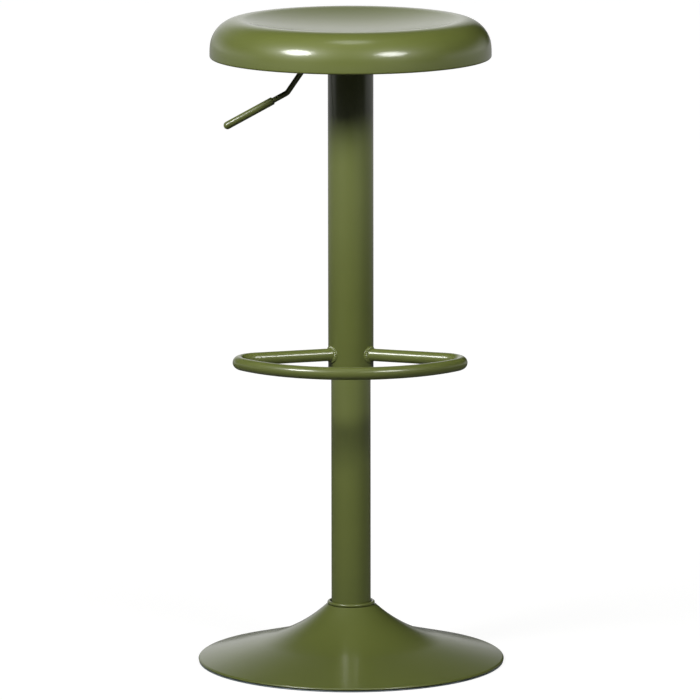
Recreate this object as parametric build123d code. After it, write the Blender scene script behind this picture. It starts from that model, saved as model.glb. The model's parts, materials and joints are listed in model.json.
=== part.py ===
from build123d import *
import os
from math import asin, atan2, cos, degrees, hypot, radians, sin, sqrt, tan

# Bar stool with a gas lift, in millimetres, seat raised.
# Origin on the floor at the column's axis, +Z up, lever towards -X, footrest towards -Y.

# Main sizes
SEAT_HEIGHT = 823
SEAT_DIAMETER = 355
BASE_DIAMETER = 390
COLUMN_DIAMETER = 50
SLEEVE_DIAMETER = 57.5
FOOTREST_HEIGHT = 397.5
HEIGHT_TRAVEL = 210

# Clearances
FIT = 0.03  # pressed or wedged together
RUNNING = 0.06  # radial, a shaft in its hole
PASSING = 0.3  # a moving piece and the wall it passes
BOLT_PLAY = 0.3  # radial, a bolt in a plain hole

# Base
BASE_WALL = 2
NECK_HEIGHT = 73.5
NECK_LAND = 1.1  # flat top of the shell outside the hub
NECK_SLOPE = 43.5  # degrees below level at the neck
FLANK_RADIUS = 199
RIM_ROUND = 3.3
HUB_WALL = 4.5
HUB_FOOT = 14
FLOOR_RING_HEIGHT = 2.3
FLOOR_RING_WIDTH = 10
FLOOR_RING_INSET = 0.8
COLLAR_GAP = 0.8
COLLAR_WIDTH = 4.4
COLLAR_FLAT = 0.2  # taken off underneath
BRACE_HEIGHT = 20
BRACE_THICKNESS = 3
BALLAST_BORE = 120
BALLAST_THICKNESS = 14
BALLAST_AIR = 1  # below the shell

# M6 fasteners
BOLT_DIAMETER = 6
HEX_FLATS = 10
HEAD_HEIGHT = 4
NUT_HEIGHT = 5
WASHER_DIAMETER = 12
WASHER_THICKNESS = 1.2

# Column
COLUMN_WALL = 1.5
COLUMN_FOOT = 18
FOOT_TAPER = 0.8  # radius lost from the collar down to the foot
END_PLATE_THICKNESS = 4
END_PLATE_INSET = 3
RACE_THICKNESS = 2
RACE_WIDTH = 10
BALL_DIAMETER = 5
BALL_COUNT = 8
BALL_CIRCLE = 22
CAGE_THICKNESS = 3
CAGE_WIDTH = 7
BUSH_LENGTH = 70
BUSH_FLANGE = 3
BUSH_HEADROOM = 22  # left under the sleeve's cap with the seat down

# Gas spring
ROD_DIAMETER = 10
BUMPER_HEIGHT = 20
BUMPER_DIAMETER = 26
CLIP_THICKNESS = 1.2
CLIP_WIDTH = 4
CLIP_GROOVE = 1
CYLINDER_DIAMETER = 28
CYLINDER_WALL = 1.5
CYLINDER_END = 4
CYLINDER_GUIDED = 65  # length in the bush with the seat raised
CONE_LENGTH = 46
CONE_TAPER = 1  # radius lost over the cone
CONE_STANDOUT = 2  # above the socket
GLAND_LENGTH = 12
PISTON_LENGTH = 15
SEAL_HEIGHT = 3
SEAL_WIDTH = 2
PIN_DIAMETER = 8
PIN_LENGTH = 35
PIN_STANDOUT = 5
PIN_STROKE = 4.5

# Sleeve and footrest
SLEEVE_WALL = 1.5
SLEEVE_BELOW_FOOTREST = 21.5
SLEEVE_AIR = 10  # below the lever housing
CAP_THICKNESS = 6
GUIDE_HEIGHT = 20
GUIDE_FLANGE = 2
FOOT_TUBE_DIAMETER = 16
FOOT_TUBE_WALL = 1.5
FOOT_REACH = 157  # axis to the middle of the front bar
FRONT_RADIUS = 169
CORNER_RADIUS = 28
ARM_SWEEP = 18.6  # degrees forward of sideways
ARM_OFFSET = 7  # the arms' lines meet this far in front of the axis
WELD_SIZE = 3

# Seat
SEAT_WALL = 1.5
SEAT_DEPTH = 48.6
RIM_WIDTH = 37  # outside to crest
SIDE_RADIUS = 88
EDGE_STRAIGHT = 6.5
EDGE_ROUND = 2.5
LIP_WIDTH = 9
DISH_DEPTH = 15
PLATE_SIDE = 150
PLATE_THICKNESS = 3
PLATE_CORNER = 15
PLATE_DROP = 3.5  # below the dish
BOLT_SPACING = 120
BOSS_DIAMETER = 16
BOLT_LENGTH = 11
SOCKET_DIAMETER = 38
SOCKET_LENGTH = 34
HOUSING_HEIGHT = 24
HOUSING_WIDTH = 45
HOUSING_LENGTH = 60
HOUSING_WALL = 2.5
HOUSING_FLOOR = 3
HOUSING_BEND = 4

# Lever
LEVER_DROP = 8.5  # rod axis below the lift plate
LEVER_ARM = 22  # pivot to release pin
LEVER_DIAMETER = 7
LEVER_TURN = 37.2  # axis to the rod's first bend
LEG_DROP = 62.3
LEG_SLOPE = 55.6
HANDLE_SLOPE = 28.8
HANDLE_LENGTH = 91
LEVER_BEND = 8
GRIP_DIAMETER = 10
GRIP_LENGTH = 70.5
GRIP_CHAMFER = 0.8
BLADE_THICKNESS = 5
BLADE_STUB = 9  # length and height of the end that takes the rod
EYE_RADIUS = 5.5
NOSE_RADIUS = 5
PIVOT_DIAMETER = 6
PIVOT_END = 3.5
SPACER_WALL = 2

# Heights that follow, seat group from the top down
column_radius = COLUMN_DIAMETER / 2
sleeve_radius = SLEEVE_DIAMETER / 2
sleeve_bore = sleeve_radius - SLEEVE_WALL
rod_radius = ROD_DIAMETER / 2
cylinder_radius = CYLINDER_DIAMETER / 2
cylinder_bore = cylinder_radius - CYLINDER_WALL
pin_radius = PIN_DIAMETER / 2
bolt_radius = BOLT_DIAMETER / 2
dish_underside = SEAT_HEIGHT - DISH_DEPTH - SEAT_WALL
plate_top = dish_underside - PLATE_DROP
plate_bottom = plate_top - PLATE_THICKNESS
housing_bottom = plate_bottom - HOUSING_HEIGHT
socket_top = housing_bottom + HOUSING_FLOOR
socket_bottom = socket_top - SOCKET_LENGTH
cylinder_top = socket_top + CONE_STANDOUT
cone_bottom = cylinder_top - CONE_LENGTH
cap_bottom = socket_bottom - CAP_THICKNESS
sleeve_top = housing_bottom - SLEEVE_AIR
sleeve_bottom = FOOTREST_HEIGHT - SLEEVE_BELOW_FOOTREST
pin_top = cylinder_top + PIN_STANDOUT
lever_height = plate_bottom - LEVER_DROP
column_top = cap_bottom - HEIGHT_TRAVEL - BUSH_HEADROOM - BUSH_FLANGE
cylinder_bottom = column_top - CYLINDER_GUIDED
gland_top = cylinder_bottom + GLAND_LENGTH
piston_bottom = gland_top + PASSING
piston_top = piston_bottom + PISTON_LENGTH

# Heights that follow, base group from the floor up
hub_radius = column_radius + HUB_WALL
neck_radius = hub_radius + FIT + NECK_LAND
base_radius = BASE_DIAMETER / 2
collar_middle = NECK_HEIGHT + COLLAR_WIDTH / 2 - COLLAR_FLAT
taper_top = collar_middle
end_plate_bottom = COLUMN_FOOT + END_PLATE_INSET
end_plate_top = end_plate_bottom + END_PLATE_THICKNESS
balls_bottom = end_plate_top + RACE_THICKNESS + FIT
upper_race_bottom = balls_bottom + BALL_DIAMETER + RUNNING
bumper_bottom = upper_race_bottom + RACE_THICKNESS
rod_washer_top = end_plate_bottom - FIT
clip_top = rod_washer_top - WASHER_THICKNESS
clip_bottom = clip_top - CLIP_THICKNESS
rod_bottom = clip_bottom - 2 * CLIP_THICKNESS
ballast_bottom = BRACE_HEIGHT - BALLAST_THICKNESS
brace_top = BRACE_HEIGHT + BRACE_THICKNESS

# The base's flank and rim circles, and the slope of the straight line that touches both
flank_centre = (neck_radius + FLANK_RADIUS * sin(radians(NECK_SLOPE)),
                NECK_HEIGHT + FLANK_RADIUS * cos(radians(NECK_SLOPE)))
rim_centre = (base_radius - RIM_ROUND, FLOOR_RING_HEIGHT)
across, rise = flank_centre[0] - rim_centre[0], flank_centre[1] - rim_centre[1]
plate_slope = 180 - degrees(asin((FLANK_RADIUS + RIM_ROUND) / hypot(across, rise)) + atan2(rise, across))

# The seat's side, crest and dish circles, each touching the next
seat_radius = SEAT_DIAMETER / 2
edge_height = SEAT_HEIGHT - SEAT_DEPTH
side_centre = (seat_radius - SIDE_RADIUS, edge_height + EDGE_STRAIGHT)
crest_out = SIDE_RADIUS - RIM_WIDTH
crest_up = SEAT_HEIGHT - side_centre[1]
crest_radius = (SIDE_RADIUS ** 2 - crest_out ** 2 - crest_up ** 2) / (2 * (SIDE_RADIUS - crest_up))
crest_centre = (seat_radius - RIM_WIDTH, SEAT_HEIGHT - crest_radius)
crest_start = degrees(atan2(crest_centre[1] - side_centre[1], crest_centre[0] - side_centre[0]))
dish_rise = crest_radius - DISH_DEPTH
dish_radius = (crest_centre[0] ** 2 + dish_rise ** 2 - crest_radius ** 2) / (2 * DISH_DEPTH)
dish_centre = (0, SEAT_HEIGHT - DISH_DEPTH + dish_radius)
crest_end = degrees(atan2(dish_centre[1] - crest_centre[1], -crest_centre[0]))


# Helpers
def turned(*outline):
    """Solid turned about Z. The outline is points (radius, height) and arcs in order, joined by lines."""
    ends = [(item @ 0, item @ 1) if isinstance(item, Edge) else (Vector(*item),) * 2 for item in outline]
    edges = [item for item in outline if isinstance(item, Edge)]
    for (_, end), (start, _) in zip(ends, ends[1:] + ends[:1]):
        if (start - end).length > 1e-6:
            edges.append(Line(end, start))
    return revolve(Plane.XZ * make_face(edges), Axis.Z)


def arc(centre, radius, start, end):
    """Arc of an outline between two directions in degrees."""
    return CenterArc(centre, radius, start, end - start)


def ring(inner, outer, bottom, top):
    """Tube, washer or disc about Z."""
    return turned((inner, bottom), (outer, bottom), (outer, top), (inner, top))


def rod(radius, bottom, top):
    """Round bar about Z."""
    return Pos(0, 0, bottom) * Cylinder(radius, top - bottom, align=(Align.CENTER, Align.CENTER, Align.MIN))


def hexagon(height):
    """Hexagonal head or nut standing on the origin."""
    return extrude(RegularPolygon(HEX_FLATS / 2, 6, major_radius=False), height)


def hex_bolt(length):
    """Bolt with its head under the origin and its shank up."""
    return Pos(0, 0, -HEAD_HEIGHT) * hexagon(HEAD_HEIGHT) + rod(bolt_radius, 0, length)


def copies(places, piece):
    """The same piece at each place, as separate solids."""
    return Compound(children=[place * piece for place in places])


def column_radius_at(height):
    """Outside radius of the column, tapered below the collar."""
    return column_radius - FOOT_TAPER * max(0, taper_top - height) / (taper_top - COLUMN_FOOT)


def cone_radius_at(height):
    """Outside radius of the gas cylinder's cone."""
    return cylinder_radius - CONE_TAPER * (height - cone_bottom) / CONE_LENGTH


def shell_radius_at(height):
    """Radius where the underside of the base shell is at this height."""
    slope = radians(plate_slope)
    under = FLANK_RADIUS + BASE_WALL
    bend = (flank_centre[0] - under * sin(slope), flank_centre[1] - under * cos(slope))
    if height < bend[1]:
        return bend[0] + (bend[1] - height) / tan(slope)
    return flank_centre[0] - sqrt(under ** 2 - (flank_centre[1] - height) ** 2)


# Base
def base_shell():
    """Pressed trumpet: concave flank, straight cone and rounded rim, the same wall all over."""
    joint = hub_radius + FIT
    under = FLANK_RADIUS + BASE_WALL
    joint_angle = -degrees(atan2(sqrt(under ** 2 - (flank_centre[0] - joint) ** 2), joint - flank_centre[0]))
    return turned(
        (joint, NECK_HEIGHT),
        arc(flank_centre, FLANK_RADIUS, -90 - NECK_SLOPE, -90 - plate_slope),
        arc(rim_centre, RIM_ROUND, 90 - plate_slope, 0),
        arc(rim_centre, RIM_ROUND - BASE_WALL, 0, 90 - plate_slope),
        arc(flank_centre, under, -90 - plate_slope, joint_angle),
    )


def base_hub():
    """Tube in the neck whose bore wedges the column."""
    top_bore = column_radius_at(NECK_HEIGHT) + FIT
    foot_bore = column_radius_at(HUB_FOOT) + FIT
    return turned((foot_bore, HUB_FOOT), (hub_radius, HUB_FOOT), (hub_radius, NECK_HEIGHT), (top_bore, NECK_HEIGHT))


def ballast_places():
    """Bolt places midway across the ballast ring."""
    middle = (BALLAST_BORE / 2 + shell_radius_at(BRACE_HEIGHT + BALLAST_AIR)) / 2
    return PolarLocations(middle, 4, start_angle=45)


def bolt_holes(places, bottom, top):
    """Plain bolt holes at the places."""
    return [place * rod(bolt_radius + BOLT_PLAY, bottom, top) for place in places]


def brace_disc():
    """Disc that ties the hub to the shell and carries the ballast."""
    outer = shell_radius_at(brace_top + PASSING)
    return ring(hub_radius + FIT, outer, BRACE_HEIGHT, brace_top) - bolt_holes(ballast_places(), BRACE_HEIGHT, brace_top)


def ballast_ring():
    """Cast ring under the brace disc."""
    outer = shell_radius_at(BRACE_HEIGHT + BALLAST_AIR)
    casting = ring(BALLAST_BORE / 2, outer, ballast_bottom, BRACE_HEIGHT)
    return casting - bolt_holes(ballast_places(), ballast_bottom, BRACE_HEIGHT)


def ballast_bolts():
    """Bolts from below through ballast, brace and nuts."""
    length = brace_top + NUT_HEIGHT - ballast_bottom
    return copies([Pos(0, 0, ballast_bottom) * place for place in ballast_places()], hex_bolt(length))


def ballast_nuts():
    """Nuts on top of the brace disc."""
    nut = hexagon(NUT_HEIGHT) - rod(bolt_radius + FIT, 0, NUT_HEIGHT)
    return copies([Pos(0, 0, brace_top) * place for place in ballast_places()], nut)


def floor_ring():
    """Soft ring under the rim, rounded at its outer lower corner."""
    outer = base_radius - FLOOR_RING_INSET
    round_centre = (outer - FLOOR_RING_HEIGHT / 2, FLOOR_RING_HEIGHT / 2)
    return turned(
        (outer - FLOOR_RING_WIDTH, FLOOR_RING_HEIGHT),
        (outer - FLOOR_RING_WIDTH, 0),
        arc(round_centre, FLOOR_RING_HEIGHT / 2, -90, 0),
        (outer, FLOOR_RING_HEIGHT),
    )


def collar_ring():
    """Round bead lying on the neck round the foot of the column, with a narrow flat underneath."""
    half = COLLAR_WIDTH / 2
    middle = column_radius + COLLAR_GAP + half
    flat = degrees(asin((half - COLLAR_FLAT) / half))
    return turned(arc((middle, collar_middle), half, -flat, 180 + flat))


# Column
def stand_tube():
    """Column tube with a tapered foot."""
    foot = column_radius_at(COLUMN_FOOT)
    return turned(
        (foot - COLUMN_WALL, COLUMN_FOOT),
        (foot, COLUMN_FOOT),
        (column_radius, taper_top),
        (column_radius, column_top),
        (column_radius - COLUMN_WALL, column_top),
        (column_radius - COLUMN_WALL, taper_top),
    )


def tube_end_plate():
    """Disc across the column's foot that the bearing stands on."""
    outer = column_radius_at(end_plate_bottom) - COLUMN_WALL - FIT
    return ring(rod_radius + PASSING, outer, end_plate_bottom, end_plate_top)


def lower_race():
    """Fixed race of the thrust bearing."""
    inner = rod_radius + PASSING
    return ring(inner, inner + RACE_WIDTH, end_plate_top, end_plate_top + RACE_THICKNESS)


def ball_places():
    """Ball centres round the rod."""
    lift = Pos(0, 0, balls_bottom + BALL_DIAMETER / 2)
    return [lift * place for place in PolarLocations(BALL_CIRCLE / 2, BALL_COUNT)]


def bearing_balls():
    """Balls of the thrust bearing."""
    return copies(ball_places(), Sphere(BALL_DIAMETER / 2))


def bearing_cage():
    """Flat ring with a pocket for each ball."""
    middle = balls_bottom + BALL_DIAMETER / 2
    half_width, half_height = CAGE_WIDTH / 2, CAGE_THICKNESS / 2
    disc = ring(BALL_CIRCLE / 2 - half_width, BALL_CIRCLE / 2 + half_width, middle - half_height, middle + half_height)
    return disc - [place * Cylinder(BALL_DIAMETER / 2 + RUNNING, BALL_DIAMETER) for place in ball_places()]


def guide_bush():
    """Plastic bush in the column's top that guides the gas cylinder."""
    bore = cylinder_radius + RUNNING
    body = ring(bore, column_radius - COLUMN_WALL - FIT, column_top - BUSH_LENGTH, column_top)
    return body + ring(bore, column_radius, column_top, column_top + BUSH_FLANGE)


# Gas spring
def piston_rod():
    """Bar from the column's foot to the piston, grooved for the clip."""
    groove = ring(rod_radius - CLIP_GROOVE, ROD_DIAMETER, clip_bottom, clip_top)
    return rod(rod_radius, rod_bottom, piston_top) - groove


def upper_race():
    """Race of the thrust bearing that turns with the rod."""
    return ring(rod_radius + FIT, rod_radius + PASSING + RACE_WIDTH, upper_race_bottom, bumper_bottom)


def rod_bumper():
    """Rubber stop round the rod."""
    return ring(rod_radius + FIT, BUMPER_DIAMETER / 2, bumper_bottom, bumper_bottom + BUMPER_HEIGHT)


def rod_washer():
    """Washer between end plate and clip."""
    return ring(rod_radius + FIT, rod_radius + CLIP_WIDTH, clip_top, rod_washer_top)


def rod_clip():
    """Open clip in the rod's groove."""
    inner = rod_radius - CLIP_GROOVE + FIT
    mouth = Pos(CLIP_WIDTH * 2, 0, clip_bottom) * Box(CLIP_WIDTH * 4, inner, CLIP_THICKNESS * 3)
    return ring(inner, inner + CLIP_WIDTH, clip_bottom, clip_top) - mouth


def seal_bottom():
    """Height of the seal's groove, halfway up the piston."""
    return piston_bottom + (PISTON_LENGTH - SEAL_HEIGHT) / 2


def gas_piston():
    """Piston on the rod's end, grooved for its seal."""
    outer = cylinder_bore - 2 * RUNNING
    groove = ring(outer - SEAL_WIDTH, cylinder_bore, seal_bottom(), seal_bottom() + SEAL_HEIGHT)
    return ring(rod_radius + FIT, outer, piston_bottom, piston_top) - groove


def piston_seal():
    """Ring in the piston's groove."""
    inner = cylinder_bore - 2 * RUNNING - SEAL_WIDTH + FIT
    return ring(inner, cylinder_bore - RUNNING, seal_bottom() + FIT, seal_bottom() + SEAL_HEIGHT - FIT)


def gas_cylinder():
    """Pressure tube with a cone on top that wedges in the seat's socket."""
    end_inside = cylinder_top - CYLINDER_END
    return turned(
        (cylinder_bore, cylinder_bottom),
        (cylinder_radius, cylinder_bottom),
        (cylinder_radius, cone_bottom),
        (cone_radius_at(cylinder_top), cylinder_top),
        (pin_radius + RUNNING, cylinder_top),
        (pin_radius + RUNNING, end_inside),
        (cone_radius_at(end_inside) - CYLINDER_WALL, end_inside),
        (cylinder_bore, cone_bottom),
    )


def cylinder_gland():
    """Guide and seal where the rod leaves the cylinder."""
    return ring(rod_radius + RUNNING, cylinder_bore - FIT, cylinder_bottom, gland_top)


def valve_body():
    """Plug in the cylinder's cone, bored for the release pin."""
    top = cylinder_top - CYLINDER_END
    blind = pin_top - PIN_LENGTH - PIN_STROKE
    floor = blind - CYLINDER_WALL
    inset = CYLINDER_WALL + FIT
    return turned(
        (0, floor),
        (cone_radius_at(floor) - inset, floor),
        (cone_radius_at(top) - inset, top),
        (pin_radius + RUNNING, top),
        (pin_radius + RUNNING, blind),
        (0, blind),
    )


def release_pin():
    """Button pressed by the lever to open the valve."""
    return rod(pin_radius, pin_top - PIN_LENGTH, pin_top)


# Sleeve and footrest
def sleeve():
    """Tube that hides the gas spring and carries the footrest."""
    return ring(sleeve_bore, sleeve_radius, sleeve_bottom, sleeve_top)


def sleeve_cap():
    """Disc in the sleeve that sits on the cylinder's cone, held by the socket above."""
    outer = sleeve_bore - FIT
    low_bore = cone_radius_at(cap_bottom) + FIT
    top_bore = cone_radius_at(socket_bottom) + FIT
    return turned((low_bore, cap_bottom), (outer, cap_bottom), (outer, socket_bottom), (top_bore, socket_bottom))


def sleeve_guide():
    """Plastic ring in the sleeve's lower end."""
    bore = column_radius + PASSING
    body = ring(bore, sleeve_bore - FIT, sleeve_bottom, sleeve_bottom + GUIDE_HEIGHT)
    return body + ring(bore, sleeve_radius, sleeve_bottom - GUIDE_FLANGE, sleeve_bottom)


def arm_line():
    """Where the right arm's line starts on the middle plane, and its direction in plan."""
    turn = radians(ARM_SWEEP)
    return Vector(0, -ARM_OFFSET, FOOTREST_HEIGHT), Vector(cos(turn), -sin(turn), 0)


def arm_reach():
    """Length along the arm's line to the sleeve's surface."""
    turn = radians(ARM_SWEEP)
    return sqrt(sleeve_radius ** 2 - (ARM_OFFSET * cos(turn)) ** 2) - ARM_OFFSET * sin(turn)


def sleeve_space():
    """Room taken by the sleeve where the arms meet it."""
    return Pos(0, 0, FOOTREST_HEIGHT) * Cylinder(sleeve_radius, SLEEVE_DIAMETER)


def footrest():
    """Bent tube: swept arms, tight corners and a wide front arc, cut to the sleeve."""
    root, along = arm_line()
    forward = Vector(along.Y, -along.X, 0)
    front_centre = Vector(0, FRONT_RADIUS - FOOT_REACH, FOOTREST_HEIGHT)
    offset = root + forward * CORNER_RADIUS - front_centre
    lean = offset.dot(along)
    length = sqrt(lean ** 2 - offset.length ** 2 + (FRONT_RADIUS - CORNER_RADIUS) ** 2) - lean
    bend = root + along * length
    corner_centre = bend + forward * CORNER_RADIUS
    touch = front_centre + (corner_centre - front_centre).normalized() * FRONT_RADIUS
    start = root + along * (arm_reach() - SLEEVE_WALL - FOOT_TUBE_DIAMETER / 4)
    half = [Line(start, bend), TangentArc(bend, touch, tangent=along)]
    front = ThreePointArc(touch, (0, -FOOT_REACH, FOOTREST_HEIGHT), (-touch.X, touch.Y, touch.Z))
    path = Wire(half + [front] + [edge.mirror(Plane.YZ) for edge in half])
    radius = FOOT_TUBE_DIAMETER / 2
    section = Plane(start, z_dir=along) * (Circle(radius) - Circle(radius - FOOT_TUBE_WALL))
    return sweep(section, path) - sleeve_space()


def footrest_welds():
    """Weld bead round each arm where it meets the sleeve."""
    root, along = arm_line()
    radius = FOOT_TUBE_DIAMETER / 2
    depth = sleeve_radius / 4
    height = depth + WELD_SIZE
    on_end = (Align.CENTER, Align.CENTER, Align.MIN)
    cone = Cone(radius + height, radius + FIT, height, align=on_end) - Cylinder(radius, height, align=on_end)
    bead = Plane(root + along * (arm_reach() - depth), z_dir=along) * cone - sleeve_space()
    return Compound(children=[bead, mirror(bead, Plane.YZ)])


# Seat
def seat_shell():
    """Pressed seat: shallow dish, round crest, bowed side and a turned-in lower edge."""
    inside = seat_radius - SEAT_WALL
    edge_centre = (seat_radius - EDGE_ROUND, edge_height + EDGE_ROUND)
    lip = seat_radius - LIP_WIDTH
    return turned(
        arc(dish_centre, dish_radius, -90, crest_end - 180),
        arc(crest_centre, crest_radius, crest_end, crest_start),
        arc(side_centre, SIDE_RADIUS, crest_start, 0),
        arc(edge_centre, EDGE_ROUND, 0, -90),
        (lip, edge_height),
        (lip, edge_height + SEAT_WALL),
        arc(edge_centre, EDGE_ROUND - SEAT_WALL, -90, 0),
        (inside, side_centre[1]),
        arc(side_centre, SIDE_RADIUS - SEAT_WALL, 0, crest_start),
        arc(crest_centre, crest_radius - SEAT_WALL, crest_start, crest_end),
        arc(dish_centre, dish_radius + SEAT_WALL, crest_end - 180, -90),
    )


def plate_places(height):
    """Bolt places of the lift plate at a height."""
    return [Pos(0, 0, height) * place for place in GridLocations(BOLT_SPACING, BOLT_SPACING, 2, 2)]


def seat_bosses():
    """Threaded bosses welded under the dish, their tops cut to its curve."""
    boss = rod(BOSS_DIAMETER / 2, 0, SEAT_DEPTH) - rod(bolt_radius + FIT, 0, SEAT_DEPTH)
    dish = Pos(0, 0, dish_centre[1]) * Sphere(dish_radius + SEAT_WALL)
    return Compound(children=[place * boss - dish for place in plate_places(plate_top)])


def lift_plate():
    """Plate bolted under the seat."""
    plate = extrude(RectangleRounded(PLATE_SIDE, PLATE_SIDE, PLATE_CORNER), PLATE_THICKNESS)
    return Pos(0, 0, plate_bottom) * plate - bolt_holes(plate_places(plate_bottom), 0, PLATE_THICKNESS)


def plate_washers():
    """Washers under the lift plate's bolt heads."""
    washer = ring(bolt_radius + BOLT_PLAY, WASHER_DIAMETER / 2, -WASHER_THICKNESS, 0)
    return copies(plate_places(plate_bottom), washer)


def plate_bolts():
    """Bolts up through the lift plate into the bosses."""
    return copies(plate_places(plate_bottom - WASHER_THICKNESS), hex_bolt(BOLT_LENGTH))


def pivot_hole(radius, width):
    """Cross hole at the lever's pivot."""
    return Pos(-LEVER_ARM, 0, lever_height) * Rot(90, 0, 0) * Cylinder(radius, width)


def lever_housing():
    """Channel under the lift plate, open at both ends, that carries the socket and the pivot pin."""
    on_end = (Align.CENTER, Align.CENTER, Align.MIN)
    block = Box(HOUSING_LENGTH, HOUSING_WIDTH, HOUSING_HEIGHT, align=on_end)
    block = fillet(block.edges().filter_by(Axis.X).group_by(Axis.Z)[0], HOUSING_BEND)
    channel = Box(HOUSING_LENGTH, HOUSING_WIDTH - 2 * HOUSING_WALL, HOUSING_HEIGHT, align=on_end)
    channel = fillet(channel.edges().filter_by(Axis.X).group_by(Axis.Z)[0], HOUSING_BEND - HOUSING_WALL)
    folded = block - Pos(0, 0, HOUSING_FLOOR) * channel - rod(SOCKET_DIAMETER / 2 + FIT, 0, HOUSING_FLOOR)
    return Pos(0, 0, housing_bottom) * folded - pivot_hole(PIVOT_DIAMETER / 2 + FIT, HOUSING_WIDTH)


def taper_socket():
    """Cup welded through the housing's floor that wedges on the cylinder's cone."""
    outer = SOCKET_DIAMETER / 2
    low_bore = cone_radius_at(socket_bottom) + FIT
    top_bore = cone_radius_at(socket_top) + FIT
    return turned((low_bore, socket_bottom), (outer, socket_bottom), (outer, socket_top), (top_bore, socket_top))


def pivot_pin():
    """Pin across the housing that the lever turns on."""
    return pivot_hole(PIVOT_DIAMETER / 2, HOUSING_WIDTH + 2 * PIVOT_END)


def pivot_rings(wall, inner_face, outer_face):
    """A pair of rings on the pivot pin, one each side of the lever."""
    radius = PIVOT_DIAMETER / 2 + FIT
    length = outer_face - inner_face
    one = Cylinder(radius + wall, length) - Cylinder(radius, length)
    middle = (inner_face + outer_face) / 2
    sides = [Pos(-LEVER_ARM, side * middle, lever_height) * Rot(90, 0, 0) for side in (-1, 1)]
    return copies(sides, one)


def pivot_spacers():
    """Tubes that keep the lever in the middle of its pin."""
    return pivot_rings(SPACER_WALL, BLADE_THICKNESS / 2 + PASSING, HOUSING_WIDTH / 2 - HOUSING_WALL - FIT)


def pivot_clips():
    """Push-on clips outside the housing."""
    outside = HOUSING_WIDTH / 2 + FIT
    return pivot_rings(SPACER_WALL, outside, outside + CLIP_THICKNESS)


# Lever
def blade_end():
    """Where the blade stops and the rod starts."""
    return -LEVER_ARM - BLADE_STUB


def lever_blade():
    """Flat arm from the rod's end over the pivot to a round nose above the release pin."""
    eye = Pos(-LEVER_ARM, lever_height) * Circle(EYE_RADIUS)
    nose = Pos(0, pin_top + PASSING + NOSE_RADIUS) * Circle(NOSE_RADIUS)
    stub = Pos(-LEVER_ARM - BLADE_STUB / 2, lever_height) * Rectangle(BLADE_STUB, BLADE_STUB)
    outline = make_hull(eye.edges() + nose.edges()) + stub
    blade = extrude(Plane.XZ * outline, BLADE_THICKNESS / 2, both=True)
    return blade - pivot_hole(PIVOT_DIAMETER / 2 + RUNNING, BLADE_THICKNESS)


def lever_bends():
    """First and second bend of the rod, in the XZ plane."""
    first = Vector(-LEVER_TURN, lever_height)
    return first, first - Vector(LEG_DROP / tan(radians(LEG_SLOPE)), LEG_DROP)


def handle_direction():
    """Way the handle points, in the XZ plane."""
    return Vector(-cos(radians(HANDLE_SLOPE)), -sin(radians(HANDLE_SLOPE)))


def lever_rod():
    """Bent bar: short level end, steep leg and sloping handle."""
    first, second = lever_bends()
    tip = second + handle_direction() * (HANDLE_LENGTH - GRIP_DIAMETER)
    path = Plane.XZ * FilletPolyline((blade_end(), lever_height), first, second, tip, radius=LEVER_BEND)
    return sweep(Plane(path @ 0, z_dir=path % 0) * Circle(LEVER_DIAMETER / 2), path)


def lever_grip():
    """Round-ended handle pushed on the rod."""
    direction = handle_direction()
    start = lever_bends()[1] + direction * (HANDLE_LENGTH - GRIP_LENGTH)
    bore = LEVER_DIAMETER / 2 + FIT
    depth = GRIP_LENGTH - GRIP_DIAMETER + FIT
    radius = GRIP_DIAMETER / 2
    grip = turned(
        (bore, 0),
        (radius - GRIP_CHAMFER, 0),
        (radius, GRIP_CHAMFER),
        arc((0, GRIP_LENGTH - radius), radius, 0, 90),
        (0, depth),
        (bore, depth),
    )
    return Plane((start.X, 0, start.Y), z_dir=(direction.X, 0, direction.Y)) * grip


pieces = [
    base_shell, base_hub, brace_disc, ballast_ring, ballast_bolts, ballast_nuts, floor_ring, collar_ring,
    stand_tube, tube_end_plate, lower_race, bearing_balls, bearing_cage, guide_bush,
    piston_rod, upper_race, rod_bumper, rod_washer, rod_clip, gas_piston, piston_seal,
    gas_cylinder, cylinder_gland, valve_body, release_pin,
    sleeve, sleeve_cap, sleeve_guide, footrest, footrest_welds,
    seat_shell, seat_bosses, lift_plate, plate_washers, plate_bolts, lever_housing, taper_socket,
    pivot_pin, pivot_spacers, pivot_clips,
    lever_blade, lever_rod, lever_grip,
]
os.makedirs("parts", exist_ok=True)
for piece in pieces:
    export_step(piece(), f"parts/{piece.__name__}.step")
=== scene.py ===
import json
from math import acos, asin, atan2, cos, degrees, hypot, pi, radians, sin, sqrt, tan, tau

import bmesh
import bpy
from mathutils import Matrix, Vector


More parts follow.
